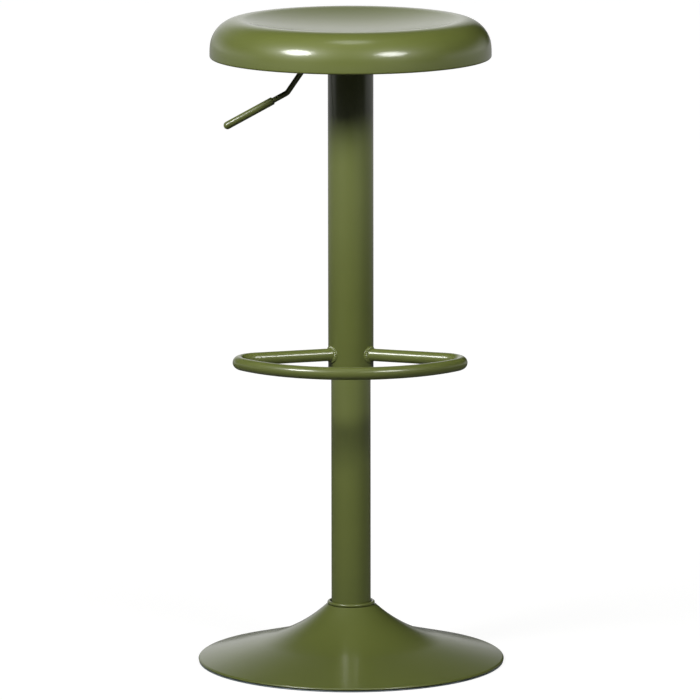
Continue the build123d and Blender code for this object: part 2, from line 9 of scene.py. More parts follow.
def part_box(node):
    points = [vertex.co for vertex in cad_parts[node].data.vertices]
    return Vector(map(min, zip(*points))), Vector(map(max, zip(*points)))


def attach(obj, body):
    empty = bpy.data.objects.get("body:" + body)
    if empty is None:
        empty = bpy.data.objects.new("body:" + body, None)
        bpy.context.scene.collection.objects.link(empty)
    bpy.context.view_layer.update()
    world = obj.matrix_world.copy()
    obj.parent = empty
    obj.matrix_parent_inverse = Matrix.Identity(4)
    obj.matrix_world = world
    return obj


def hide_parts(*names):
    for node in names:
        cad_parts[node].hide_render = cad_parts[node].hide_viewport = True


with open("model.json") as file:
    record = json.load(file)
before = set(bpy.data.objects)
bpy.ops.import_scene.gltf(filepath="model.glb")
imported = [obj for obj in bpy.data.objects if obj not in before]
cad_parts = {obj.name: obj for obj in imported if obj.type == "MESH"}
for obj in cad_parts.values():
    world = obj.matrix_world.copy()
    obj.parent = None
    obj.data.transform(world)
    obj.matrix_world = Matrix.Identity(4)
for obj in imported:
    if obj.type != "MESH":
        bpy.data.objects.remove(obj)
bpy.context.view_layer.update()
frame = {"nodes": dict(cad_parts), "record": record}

# Bar stool in olive stove enamel: the enamelled pieces, the soft ring under the base and the bolts are
# drawn again as fine meshes over the frame. The stool's sizes are in millimetres, and each mesh is turned
# to metres as it is made. Angles are in degrees.
MM = 0.001
SAME_POINT = 0.001  # points closer than this are one
UP = Vector((0, 0, 1))

# Seat pressing
SEAT_SHEET = 1.5
SEAT_SIDE_BOW = 88  # radius of the bowed side
SEAT_CREST_INSET = 37  # outside of the seat to the top of its crest
SEAT_SKIRT = 6.5  # lower edge to the start of the bowed side
SEAT_EDGE_BEND = 2.5
SEAT_LIP = 9  # outside of the seat to the round end of the turned-in edge
DISH_DEPTH = 15

# Base trumpet
TRUMPET_SHEET = 2
TRUMPET_NECK_INSIDE = 29.53  # radius
TRUMPET_NECK_LAND = 1.1
TRUMPET_NECK_SLOPE = 43.5  # fall of the flank at the neck
TRUMPET_FLANK_BOW = 199
TRUMPET_RIM_ROUND = 3.3
TRUMPET_EDGE_ROUND = 1  # cut edge of the sheet, underneath

# Column
TUBE_WALL = 1.5
TUBE_EDGE = 0.5  # broken edge at a tube's end
COLUMN_FOOT_TAPER = 0.8  # taken off the radius at the foot
COLLAR_WIDTH = 4.4

# Footrest
FOOT_BAR = 16
FOOT_REACH = 157  # axis of the column to the middle of the front bar
FOOT_FRONT_BEND = 169
FOOT_CORNER_BEND = 28
FOOT_ARM_SWEEP = 18.6
FOOT_ARM_OFFSET = 7  # the arms' lines start this far in front of the axis
WELD_LEG = 3.2
WELD_BITE = 0.2  # into the arm
WELD_ROOT = 0.4  # into the sleeve
WELD_RIPPLES = 26  # set down round one arm
WELD_RIPPLE_DEPTH = 0.09  # share of the leg
WELD_RIPPLE_TRAIL = 91.7  # phase by which a ripple's middle trails its ends

# Lever
LEVER_BAR = 7
LEVER_FIRST_BEND = -37.2  # along X from the axis
LEVER_LEG_DROP = 62.3
LEVER_LEG_SLOPE = 55.6
LEVER_HANDLE_SLOPE = 28.8
LEVER_HANDLE_LENGTH = 91
LEVER_BEND = 8
GRIP_THICKNESS = 10
GRIP_LENGTH = 70.5
GRIP_EDGE = 0.8
GRIP_PLAY = 0.03  # between grip and bar

# Hexagon bolts
HEX_FLATS = 10
HEX_HEAD = 4
HEX_CROWN = 9.5  # round flat that the bevel leaves on the head
HEX_BEVEL = 30
BOLT_SHANK = 6
BOLT_END_BEVEL = 0.8

# Soft ring under the base
GASKET_WIDTH = 10
GASKET_BEAD = 1.5  # height of the bead that shows
GASKET_RECESS = 2.5  # from the bead in to the web that holds it to the sheet

# Range that smooth noise mostly keeps to
DRIFT = (0.3, 0.7)

# Lamps, in metres
SOFTBOX_DISTANCE = 3.0
SOFTBOX_AIM = 0.80  # height of the point that they face
SOFTBOX_SPREAD = 70  # that the grid lets through

# Paper floor, in metres from the column
PAPER_WIDTH = 60
PAPER_LIT = 0.4  # fully lit by the lamps up to here
PAPER_UNLIT = 2.0  # not lit by them from here on
PAPER_LIT_GLOW = 0.90
# Painted glow of the far paper, which only reflections see: no lamp stands there.
PAPER_MIRROR_START = 1.5
PAPER_MIRROR_FULL = 4.5
PAPER_MIRROR_GLOW = 0.35

# Cloth behind the stool and walls beside it, which only reflections see. Each fade has a direction, its
# value where the surface is dark and its value where it is fully lit.
CLOTH_LIGHT = 0.93
CLOTH_FADES = (("right", 0.20, 0.0), ("right", -0.8, 0.0), ("back", 0.0, 0.5), ("up", 0.60, 0.30))
WALL_LIGHT = 0.65
WALL_FADES = (("aside", 0.4, 0.7), ("back", -0.3, 0.0), ("up", 0.30, 0.05))
ROOM_LIGHT = 0.02  # soft light from all round

# Camera, in metres
CAMERA_AZIMUTH = 0.8  # round the column from its front towards +X
CAMERA_DISTANCE = 8.41
CAMERA_HEIGHT = 1.82
CAMERA_ASIDE = -0.0011
CAMERA_PITCH = 80.422
CAMERA_ROLL = -0.06
CAMERA_LENS = 346.2  # focal length in millimetres
CAMERA_FILM = 36  # width in millimetres


# Shapes
def corners(node):
    """Lowest and highest corner of a CAD node, in millimetres."""
    low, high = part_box(node)
    return Vector(low) / MM, Vector(high) / MM


def arc(centre, radius, start, end, steps):
    """Points of an arc between two directions, both ends included."""
    turns = [radians(start + (end - start) * step / steps) for step in range(steps + 1)]
    return [(centre[0] + radius * cos(turn), centre[1] + radius * sin(turn)) for turn in turns]


def tube_outline(inner, outer, bottom, top):
    """Closed outline of a tube about Z with its four edges broken."""
    low, high = bottom + TUBE_EDGE, top - TUBE_EDGE
    near, far = inner + TUBE_EDGE, outer - TUBE_EDGE
    return (
        arc((near, low), TUBE_EDGE, 180, 270, 4)
        + arc((far, low), TUBE_EDGE, 270, 360, 4)
        + arc((far, high), TUBE_EDGE, 0, 90, 4)
        + arc((near, high), TUBE_EDGE, 90, 180, 4)
    )


def turned_shape(outlines):
    """Points and faces about Z from outlines of (radius, height), one for each step of a full turn.

    Outlines that start on the axis end there too; others close on themselves.
    """
    around, count = len(outlines), len(outlines[0])
    spans = count if outlines[0][0][0] > SAME_POINT else count - 1
    points, faces = [], []
    for step, outline in enumerate(outlines):
        turn = tau * step / around
        points += [(radius * cos(turn), radius * sin(turn), height) for radius, height in outline]
        here, there = step * count, (step + 1) % around * count
        for i in range(spans):
            after = (i + 1) % count
            faces.append((here + i, there + i, there + after, here + after))
    return points, faces


def ring_shape(rings, joined=False):
    """Points and faces between neighbouring rings; joined rings close on themselves, others get end caps."""
    count, around = len(rings), len(rings[0])
    faces = []
    for row in range(count if joined else count - 1):
        here, there = row * around, (row + 1) % count * around
        for i in range(around):
            after = (i + 1) % around
            faces.append((here + i, here + after, there + after, there + i))
    if not joined:
        faces += [tuple(range(around)), tuple(range((count - 1) * around, count * around))]
    return [point for ring in rings for point in ring], faces


def put_together(shapes):
    """Points and faces of several shapes as one."""
    points, faces = [], []
    for shape_points, shape_faces in shapes:
        first = len(points)
        points += shape_points
        faces += [tuple(first + i for i in face) for face in shape_faces]
    return points, faces


def bent_path(stops, bend, steps=12):
    """Flat path through the stops, with each inner corner bent to a radius."""
    path = [stops[0]]
    for before, corner, after in zip(stops, stops[1:], stops[2:]):
        back, on = (before - corner).normalized(), (after - corner).normalized()
        half = acos(back.dot(on)) / 2
        middle = corner + (back + on).normalized() * bend / sin(half)
        start = corner + back * bend / tan(half) - middle
        end = corner + on * bend / tan(half) - middle
        path += [middle + start.slerp(end, step / steps) * bend for step in range(steps + 1)]
    return path + [stops[-1]]


def swept_rings(path, radius, level, around=48):
    """Rings of points round a flat path; level is the direction square to its plane."""
    turns = [tau * step / around for step in range(around)]
    rings = []
    for before, here, after in zip(path[:1] + path, path, path[1:] + path[-1:]):
        side = (after - before).normalized().cross(level)
        rings.append([here + (side * cos(turn) + level * sin(turn)) * radius for turn in turns])
    return rings


def mesh_piece(name, points, faces, crisp=35):
    """Smooth-shaded piece; edges bent by more than the crisp angle stay sharp."""
    mesh = bpy.data.meshes.new(name)
    mesh.from_pydata([Vector(point) * MM for point in points], [], faces)
    shape = bmesh.new()
    shape.from_mesh(mesh)
    bmesh.ops.remove_doubles(shape, verts=shape.verts, dist=SAME_POINT * MM)
    bmesh.ops.recalc_face_normals(shape, faces=shape.faces)
    shape.to_mesh(mesh)
    shape.free()
    mesh.shade_smooth()
    mesh.set_sharp_from_angle(angle=radians(crisp))
    piece = bpy.data.objects.new(name, mesh)
    bpy.context.collection.objects.link(piece)
    return piece


def turned_piece(name, outline, around=256):
    """Piece with the same outline all round."""
    return mesh_piece(name, *turned_shape([outline] * around))


def stands_for(piece, node, body):
    """A piece that replaces a CAD node and rides on its body."""
    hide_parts(node)
    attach(piece, body)
    return piece


# Enamelled pieces
def seat_pressing():
    """Shallow dish, round crest, bowed side and a turned-in lower edge, one sheet all over."""
    low, high = corners("seat_shell")
    radius, top, edge = high.x, high.z, low.z
    side = (radius - SEAT_SIDE_BOW, edge + SEAT_SKIRT)
    # The crest is level at the top and runs smoothly into the side.
    crest_out, crest_up = SEAT_SIDE_BOW - SEAT_CREST_INSET, top - side[1]
    crest_bow = (SEAT_SIDE_BOW ** 2 - crest_out ** 2 - crest_up ** 2) / (2 * (SEAT_SIDE_BOW - crest_up))
    crest = (radius - SEAT_CREST_INSET, top - crest_bow)
    crest_start = degrees(atan2(crest[1] - side[1], crest[0] - side[0]))
    # The dish is level in the middle and runs smoothly into the crest.
    dish_bow = (crest[0] ** 2 + DISH_DEPTH ** 2) / (2 * DISH_DEPTH) - crest_bow
    dish = (0, top - DISH_DEPTH + dish_bow)
    crest_end = degrees(atan2(dish[1] - crest[1], -crest[0]))
    bend = (radius - SEAT_EDGE_BEND, edge + SEAT_EDGE_BEND)
    lip = (radius - SEAT_LIP, edge + SEAT_SHEET / 2)
    outline = (
        arc(dish, dish_bow, -90, crest_end - 180, 24)
        + arc(crest, crest_bow, crest_end, crest_start, 24)[1:]
        + arc(side, SEAT_SIDE_BOW, crest_start, 0, 20)[1:]
        + arc(bend, SEAT_EDGE_BEND, 0, -90, 8)
        + arc(lip, SEAT_SHEET / 2, -90, -270, 6)
        + arc(bend, SEAT_EDGE_BEND - SEAT_SHEET, -90, 0, 6)
        + arc(side, SEAT_SIDE_BOW - SEAT_SHEET, 0, crest_start, 20)
        + arc(crest, crest_bow - SEAT_SHEET, crest_start, crest_end, 24)[1:]
        + arc(dish, dish_bow + SEAT_SHEET, crest_end - 180, -90, 24)[1:]
    )
    return stands_for(turned_piece("seat_pressing", outline), "seat_shell", "seat")


def base_trumpet():
    """Concave flank, straight cone and rounded rim down to the floor ring."""
    low, high = corners("base_shell")
    neck = TRUMPET_NECK_INSIDE + TRUMPET_NECK_LAND
    flank = (neck + TRUMPET_FLANK_BOW * sin(radians(TRUMPET_NECK_SLOPE)),
             high.z + TRUMPET_FLANK_BOW * cos(radians(TRUMPET_NECK_SLOPE)))
    rim = (high.x - TRUMPET_RIM_ROUND, low.z)
    # The cone touches the arc of the flank above it and that of the rim below it.
    across, rise = flank[0] - rim[0], flank[1] - rim[1]
    reach = hypot(across, rise)
    slope = 180 - degrees(asin((TRUMPET_FLANK_BOW + TRUMPET_RIM_ROUND) / reach) + atan2(rise, across))
    under = TRUMPET_FLANK_BOW + TRUMPET_SHEET
    inside = -180 + degrees(acos((flank[0] - TRUMPET_NECK_INSIDE) / under))
    # The round of the cut edge touches the rim's from inside and ends level with the sheet's lower edge.
    turn_in = TRUMPET_RIM_ROUND - TRUMPET_EDGE_ROUND
    edge_start = degrees(asin(TRUMPET_EDGE_ROUND / turn_in))
    edge = (rim[0] + turn_in * cos(radians(edge_start)), rim[1] + TRUMPET_EDGE_ROUND)
    outline = (
        [(TRUMPET_NECK_INSIDE, high.z)]
        + arc(flank, TRUMPET_FLANK_BOW, -90 - TRUMPET_NECK_SLOPE, -90 - slope, 40)
        + arc(rim, TRUMPET_RIM_ROUND, 90 - slope, edge_start, 10)
        + arc(edge, TRUMPET_EDGE_ROUND, edge_start, -90, 10)[1:]
        + arc(rim, TRUMPET_RIM_ROUND - TRUMPET_SHEET, 0, 90 - slope, 8)
        + arc(flank, under, -90 - slope, inside, 40)
    )
    return stands_for(turned_piece("base_trumpet", outline), "base_shell", "base")


def stand_column():
    """Lower tube with its tapered foot in the hub."""
    low, high = corners("stand_tube")
    taper_top = corners("collar_ring")[1].z - COLLAR_WIDTH / 2
    outline = tube_outline(high.x - TUBE_WALL, high.x, low.z, high.z)
    foot = [(radius - COLUMN_FOOT_TAPER, height) for radius, height in outline if height < taper_top]
    head = [(radius, height) for radius, height in outline if height > taper_top]
    outline = foot + [(high.x, taper_top)] + head + [(high.x - TUBE_WALL, taper_top)]
    return stands_for(turned_piece("stand_column", outline), "stand_tube", "base")


def column_sleeve():
    """Upper tube that carries the seat and the footrest."""
    low, high = corners("sleeve")
    outline = tube_outline(high.x - TUBE_WALL, high.x, low.z, high.z)
    return stands_for(turned_piece("column_sleeve", outline), "sleeve", "seat")


def collar_bead():
    """Round bead lying on the neck round the foot of the column, with a narrow flat underneath."""
    low, high = corners("collar_ring")
    half = COLLAR_WIDTH / 2
    middle = (high.x - half, high.z - half)
    flat = degrees(asin((middle[1] - low.z) / half))
    outline = arc(middle, half, -flat, 180 + flat, 40)
    return stands_for(turned_piece("collar_bead", outline, around=160), "collar_ring", "base")


def arm_to_sleeve(point, along):
    """Where a line along an arm, through a point, goes into the sleeve's outside."""
    sleeve = corners("sleeve")[1].x
    lean = point.xy.dot(along.xy)
    reach = sqrt(lean ** 2 - point.xy.length_squared + sleeve ** 2) - lean
    return point + along * reach


def arm_root(hand):
    """Start of an arm's line in front of the axis, and its direction; hand is 1 right, -1 left."""
    low, high = corners("footrest")
    sweep = radians(FOOT_ARM_SWEEP)
    root = Vector((0, -FOOT_ARM_OFFSET, (low.z + high.z) / 2))
    return root, Vector((hand * cos(sweep), -sin(sweep), 0))


def foot_bar():
    """Bent tube: swept arms cut to the sleeve, tight corners and a wide front arc."""
    arms = [arm_root(hand) for hand in (1, -1)]
    root, along = arms[0]
    ahead = Vector((along.y, -along.x, 0))
    front = Vector((0, FOOT_FRONT_BEND - FOOT_REACH, root.z))
    # A corner's arc touches its arm and, from inside, the front's arc.
    offset = root + ahead * FOOT_CORNER_BEND - front
    lean = offset.dot(along)
    length = sqrt(lean ** 2 - offset.length_squared + (FOOT_FRONT_BEND - FOOT_CORNER_BEND) ** 2) - lean
    corner = root + along * length + ahead * FOOT_CORNER_BEND
    touch = degrees(atan2(corner.y - front.y, corner.x))
    right = arc(corner.xy, FOOT_CORNER_BEND, 90 - FOOT_ARM_SWEEP, touch, 28)
    middle = arc(front.xy, FOOT_FRONT_BEND, touch, -180 - touch, 72)
    left = [(-x, y) for x, y in reversed(right)]
    path = [Vector((x, y, root.z)) for x, y in right + middle[1:-1] + left]
    starts = [arm_to_sleeve(*arm) for arm in arms]
    rings = swept_rings(starts[:1] + path + starts[1:], FOOT_BAR / 2, UP)
    for end, start, (root, along) in zip((0, -1), starts, arms):
        rings[end] = [arm_to_sleeve(point - start + root, along) for point in rings[end]]
    return stands_for(mesh_piece("foot_bar", *ring_shape(rings)), "footrest", "seat")


def weld_rings(hand, around=312, across=10):
    """Sections of one bead, round the arm, with the ripples that the welder's hand left."""
    root, along = arm_root(hand)
    side = along.cross(UP)
    rings = []
    for step in range(around):
        turn = tau * step / around
        outward = side * cos(turn) + UP * sin(turn)
        corner = arm_to_sleeve(root + outward * (FOOT_BAR / 2 - WELD_BITE), along)
        wall = Vector((corner.x, corner.y, 0)).normalized()
        on_wall = (outward - wall * outward.dot(wall)).normalized()
        ring = [corner - wall * WELD_ROOT]
        for stop in range(across + 1):
            lift = stop / across * pi / 2
            swell = sin(2 * lift)
            ripple = cos(WELD_RIPPLES * turn + radians(WELD_RIPPLE_TRAIL) * swell)
            leg = WELD_LEG * (1 + WELD_RIPPLE_DEPTH * ripple * swell)
            ring.append(corner + (on_wall * cos(lift) + along * sin(lift)) * leg)
        rings.append(ring)
    return rings


def weld_beads():
    """Rippled bead round each arm where it meets the sleeve."""
    beads = put_together([ring_shape(weld_rings(hand), joined=True) for hand in (1, -1)])
    return stands_for(mesh_piece("weld_beads", *beads, crisp=60), "footrest_welds", "seat")


def lever_stops():
    """End in the blade, first bend and second bend of the lever's bar."""
    high = corners("lever_rod")[1]
    start = Vector((high.x, 0, high.z - LEVER_BAR / 2))
    first = Vector((LEVER_FIRST_BEND, 0, start.z))
    second = first - Vector((LEVER_LEG_DROP / tan(radians(LEVER_LEG_SLOPE)), 0, LEVER_LEG_DROP))
    return [start, first, second]


def handle_way():
    """Direction of the lever's handle, outwards and down."""
    slope = radians(LEVER_HANDLE_SLOPE)
    return Vector((-cos(slope), 0, -sin(slope)))


def lever_bar():
    """Bent bar: short level end, steep leg and sloping handle."""
    stops = lever_stops()
    tip = stops[-1] + handle_way() * (LEVER_HANDLE_LENGTH - GRIP_THICKNESS)
    rings = swept_rings(bent_path(stops + [tip], LEVER_BEND), LEVER_BAR / 2, Vector((0, 1, 0)))
    return stands_for(mesh_piece("lever_bar", *ring_shape(rings)), "lever_rod", "lever")


def lever_handle():
    """Round-ended grip pushed on the bar."""
    handle = handle_way()
    radius = GRIP_THICKNESS / 2
    bore = LEVER_BAR / 2 + GRIP_PLAY
    dome = GRIP_LENGTH - radius
    outline = (
        arc((0, dome), radius, 90, 0, 16)
        + arc((radius - GRIP_EDGE, GRIP_EDGE), GRIP_EDGE, 0, -90, 5)
        + [(bore, 0), (bore, dome), (0, dome)]
    )
    points, faces = turned_shape([outline] * 64)
    start = lever_stops()[-1] + handle * (LEVER_HANDLE_LENGTH - GRIP_LENGTH)
    place = Matrix.Translation(start) @ UP.rotation_difference(handle).to_matrix().to_4x4()
    piece = mesh_piece("lever_handle", [place @ Vector(point) for point in points], faces)
    return stands_for(piece, "lever_grip", "lever")


# Soft ring and fasteners
def floor_gasket():
    """Soft ring under the rim: a rounded bead on the floor, and a web set back above it."""
    high = corners("floor_ring")[1]
    inner, web = high.x - GASKET_WIDTH, high.x - GASKET_RECESS
    half = GASKET_BEAD / 2
    bead = arc((high.x - half, half), half, -90, 90, 12)
    outline = [(inner, high.z), (inner, 0)] + bead + [(web, GASKET_BEAD), (web, high.z)]
    return stands_for(turned_piece("floor_gasket", outline), "floor_ring", "base")


def hex_bolt(bottom, top, askew, around=72):
    """Points and faces of a hexagon bolt about Z with its head down; askew turns a flat away from X."""
    crown, shank = HEX_CROWN / 2, BOLT_SHANK / 2
    shoulder = bottom + HEX_HEAD
    outlines = []
    for step in range(around):
        off_flat = (360 * step / around - askew + 30) % 60 - 30
        reach = HEX_FLATS / 2 / cos(radians(off_flat))
        bevel = bottom + (reach - crown) * tan(radians(HEX_BEVEL))
        outlines.append([
            (0, bottom), (crown, bottom), (reach, bevel), (reach, shoulder), (shank, shoulder),
            (shank, top - BOLT_END_BEVEL), (shank - BOLT_END_BEVEL, top), (0, top),
        ])
    return turned_shape(outlines)


def bolts(name, node, body, askew):
    """Four hexagon bolts at the corners of a square."""
    low, high = corners(node)
    points, faces = hex_bolt(low.z, high.z, askew)
    reach = high.y - max(y for x, y, z in points)
    places = [(x, y) for x in (-reach, reach) for y in (-reach, reach)]
    shapes = [([(x + px, y + py, pz) for px, py, pz in points], faces) for x, y in places]
    return stands_for(mesh_piece(name, *put_together(shapes), crisp=25), node, body)


# Finishes
def linear(code):
    """Linear colour of an sRGB hex value."""
    parts = [int(code[i:i + 2], 16) / 255 for i in (1, 3, 5)]
    return tuple(p / 12.92 if p <= 0.04045 else ((p + 0.055) / 1.055) ** 2.4 for p in parts) + (1.0,)


def per_metre(size):
    """Texture scale whose features are this many millimetres across."""
    return 1 / (size * MM)


def connect(tree, node, inputs):
    """Sets a node's inputs; each is a value, or the output of another node to link."""
    for key, value in inputs.items():
        if isinstance(value, bpy.types.NodeSocket):
            tree.links.new(value, node.inputs[key])
        else:
            node.inputs[key].default_value = value


def add(tree, kind, inputs=None, **settings):
    """Adds a node with its settings and inputs."""
    node = tree.nodes.new(kind)
    for key, value in settings.items():
        setattr(node, key, value)
    connect(tree, node, inputs or {})
    return node


def bare_material(name):
    """New material with its tree, its shader and coordinates in the object's own metres."""
    material = bpy.data.materials.new(name)
    material.use_nodes = True
    tree = material.node_tree
    place = add(tree, "ShaderNodeTexCoord").outputs["Object"]
    return material, tree, tree.nodes["Principled BSDF"], place


def finish(name, patch, tones, roughness):
    """Material whose tone and roughness drift between two values over patches of a size in millimetres."""
    material, tree, shader, place = bare_material(name)
    noise = add(tree, "ShaderNodeTexNoise", {"Vector": place, "Scale": per_metre(patch), "Detail": 3.0})
    ramp = add(tree, "ShaderNodeValToRGB", {"Fac": noise.outputs["Fac"]})
    for stop, position, tone in zip(ramp.color_ramp.elements, DRIFT, tones):
        stop.position = position
        stop.color = linear(tone)
    gloss = add(tree, "ShaderNodeMapRange", {
        "Value": noise.outputs["Fac"], "From Min": DRIFT[0], "From Max": DRIFT[1],
        "To Min": roughness[0], "To Max": roughness[1],
    })
    connect(tree, shader, {"Base Color": ramp.outputs["Color"], "Roughness": gloss.outputs["Result"]})
    return material, tree, shader, place


def olive_stove_enamel():
    """Olive stove enamel, sprayed on steel and baked, with a clear coat over it.

    The enamel gives a deep even colour with a broad sheen, and the clear coat lays a narrower highlight
    over it. The sprayed film lies in faint waves that soften the edge of each highlight, and its thickness
    drifts a little from place to place.
    """
    material, tree, shader, place = finish("olive_stove_enamel", 70, ("#677034", "#6A7335"), (0.44, 0.48))
    # Sprayed waves are 1 to 3 mm long; drawn at 4 mm, because finer ones are lost in the render.
    waves = add(tree, "ShaderNodeTexNoise", {"Vector": place, "Scale": per_metre(4), "Detail": 1.0})
    skin = add(tree, "ShaderNodeBump", {
        "Height": waves.outputs["Fac"], "Strength": 0.06, "Distance": 0.03 * MM,
    })
    connect(tree, shader, {
        "Normal": skin.outputs["Normal"], "IOR": 1.5, "Coat Weight": 0.9, "Coat Roughness": 0.18,
    })
    return material


def black_dip_paint():
    """Black dip paint on pressed steel: semi-matt, with a thicker and a thinner film where it ran off."""
    material, tree, shader, place = finish("black_dip_paint", 18, ("#141515", "#232424"), (0.42, 0.60))
    # Grain of the rolled sheet below the paint, 0.5 mm, drawn at 1.5 mm so that it shows.
    grain = add(tree, "ShaderNodeTexNoise", {"Vector": place, "Scale": per_metre(1.5), "Detail": 2.0})
    skin = add(tree, "ShaderNodeBump", {
        "Height": grain.outputs["Fac"], "Strength": 0.3, "Distance": 0.1 * MM,
    })
    connect(tree, shader, {"Normal": skin.outputs["Normal"], "IOR": 1.5})
    return material


def bright_zinc_plate():
    """Zinc-plated steel, clear passivated: pale metal with a cool and a warm cast in patches."""
    material, tree, shader, place = finish("bright_zinc_plate", 5, ("#B9BFC4", "#CFCBBD"), (0.24, 0.38))
    # Crystals of the plating are far below 0.1 mm; drawn at 0.6 mm as a fine sparkle.
    crystals = add(tree, "ShaderNodeTexVoronoi", {"Vector": place, "Scale": per_metre(0.6)})
    skin = add(tree, "ShaderNodeBump", {
        "Height": crystals.outputs["Distance"], "Strength": 0.15, "Distance": 0.05 * MM,
    })
    connect(tree, shader, {"Normal": skin.outputs["Normal"], "Metallic": 1.0})
    return material


def ground_steel():
    """Hardened steel, ground and polished: bright, with fine rings left by the wheel."""
    material, tree, shader, place = finish("ground_steel", 12, ("#C9CBCE", "#DADBDC"), (0.10, 0.18))
    # Grinding marks are hundredths of a millimetre apart; drawn every 0.5 mm along the axis.
    rings = add(tree, "ShaderNodeTexWave", {
        "Vector": place, "Scale": per_metre(0.5) / tau, "Distortion": 0.5,
    }, bands_direction="Z")
    skin = add(tree, "ShaderNodeBump", {
        "Height": rings.outputs["Fac"], "Strength": 0.1, "Distance": 0.02 * MM,
    })
    connect(tree, shader, {"Normal": skin.outputs["Normal"], "Metallic": 1.0})
    return material


def sand_cast_iron():
    """Grey iron as it came from a sand mould: dull, dark and grainy, with a brown bloom in the hollows."""
    material, tree, shader, place = finish("sand_cast_iron", 9, ("#37322D", "#4C4C4B"), (0.62, 0.82))
    # Moulding sand leaves grains of 0.3 to 0.5 mm; drawn at 1.2 mm.
    sand = add(tree, "ShaderNodeTexNoise", {"Vector": place, "Scale": per_metre(1.2), "Detail": 4.0})
    skin = add(tree, "ShaderNodeBump", {
        "Height": sand.outputs["Fac"], "Strength": 0.8, "Distance": 0.4 * MM,
    })
    connect(tree, shader, {"Normal": skin.outputs["Normal"], "Metallic": 0.55})
    return material


def turned_aluminium():
    """Aluminium from the lathe: light grey metal with the tool's feed marks round it."""
    material, tree, shader, place = finish("turned_aluminium", 10, ("#C6C8CA", "#D6D7D8"), (0.26, 0.36))
    # Feed of 0.15 mm a turn, drawn every 0.6 mm.
    feed = add(tree, "ShaderNodeTexWave", {
        "Vector": place, "Scale": per_metre(0.6) / tau, "Distortion": 0.2,
    }, bands_direction="Z")
    skin = add(tree, "ShaderNodeBump", {
        "Height": feed.outputs["Fac"], "Strength": 0.25, "Distance": 0.04 * MM,
    })
    connect(tree, shader, {"Normal": skin.outputs["Normal"], "Metallic": 1.0})
    return material


def moulded_rubber():
    """Black rubber from a mould: matt, with a dusty bloom."""
    material, tree, shader, place = finish("moulded_rubber", 14, ("#1E1F20", "#2C2D2D"), (0.68, 0.82))
    # Mould grain of 0.2 mm, drawn at 0.9 mm.
    grain = add(tree, "ShaderNodeTexNoise", {"Vector": place, "Scale": per_metre(0.9), "Detail": 2.0})
    skin = add(tree, "ShaderNodeBump", {
        "Height": grain.outputs["Fac"], "Strength": 0.35, "Distance": 0.1 * MM,
    })
    connect(tree, shader, {"Normal": skin.outputs["Normal"], "IOR": 1.52})
    return material


def grey_soft_vinyl():
    """Grey soft vinyl, extruded: half clear, blue-grey and a little cloudy, with a satin skin."""
    material, tree, shader, place = finish("grey_soft_vinyl", 16, ("#78868A", "#8A969A"), (0.34, 0.46))
    # Die lines of the extrusion, 0.3 mm apart, drawn every 0.8 mm round the ring.
    lines = add(tree, "ShaderNodeTexWave", {
        "Vector": place, "Scale": per_metre(0.8) / tau, "Distortion": 0.4,
    }, bands_direction="Z")
    skin = add(tree, "ShaderNodeBump", {
        "Height": lines.outputs["Fac"], "Strength": 0.2, "Distance": 0.05 * MM,
    })
    connect(tree, shader, {"Normal": skin.outputs["Normal"], "IOR": 1.53})
    return material


def black_acetal():
    """Black acetal, injection moulded: a waxy low gloss with faint flow marks."""
    material, tree, shader, place = finish("black_acetal", 8, ("#161617", "#202021"), (0.36, 0.48))
    # Spark-eroded mould skin of 0.1 mm, drawn at 0.7 mm.
    grain = add(tree, "ShaderNodeTexNoise", {"Vector": place, "Scale": per_metre(0.7), "Detail": 2.0})
    skin = add(tree, "ShaderNodeBump", {
        "Height": grain.outputs["Fac"], "Strength": 0.2, "Distance": 0.06 * MM,
    })
    connect(tree, shader, {"Normal": skin.outputs["Normal"], "IOR": 1.48})
    return material


def coat(piece, material):
    """Gives a piece or CAD node one material all over."""
    piece.data.materials.clear()
    piece.data.materials.append(material)


# Studio
def softbox(name, azimuth, elevation, width, height, power):
    """Soft lamp that faces the seat; azimuth is to the left of the front."""
    lamp = bpy.data.lights.new(name, "AREA")
    lamp.shape = "ELLIPSE"
    lamp.size = width
    lamp.size_y = height
    lamp.energy = power
    lamp.spread = radians(SOFTBOX_SPREAD)
    light = bpy.data.objects.new(name, lamp)
    turn, lift = radians(azimuth), radians(elevation)
    away = Vector((-sin(turn) * cos(lift), -cos(turn) * cos(lift), sin(lift)))
    light.location = UP * SOFTBOX_AIM + away * SOFTBOX_DISTANCE
    light.rotation_euler = away.to_track_quat("Z", "Y").to_euler()
    bpy.context.collection.objects.link(light)


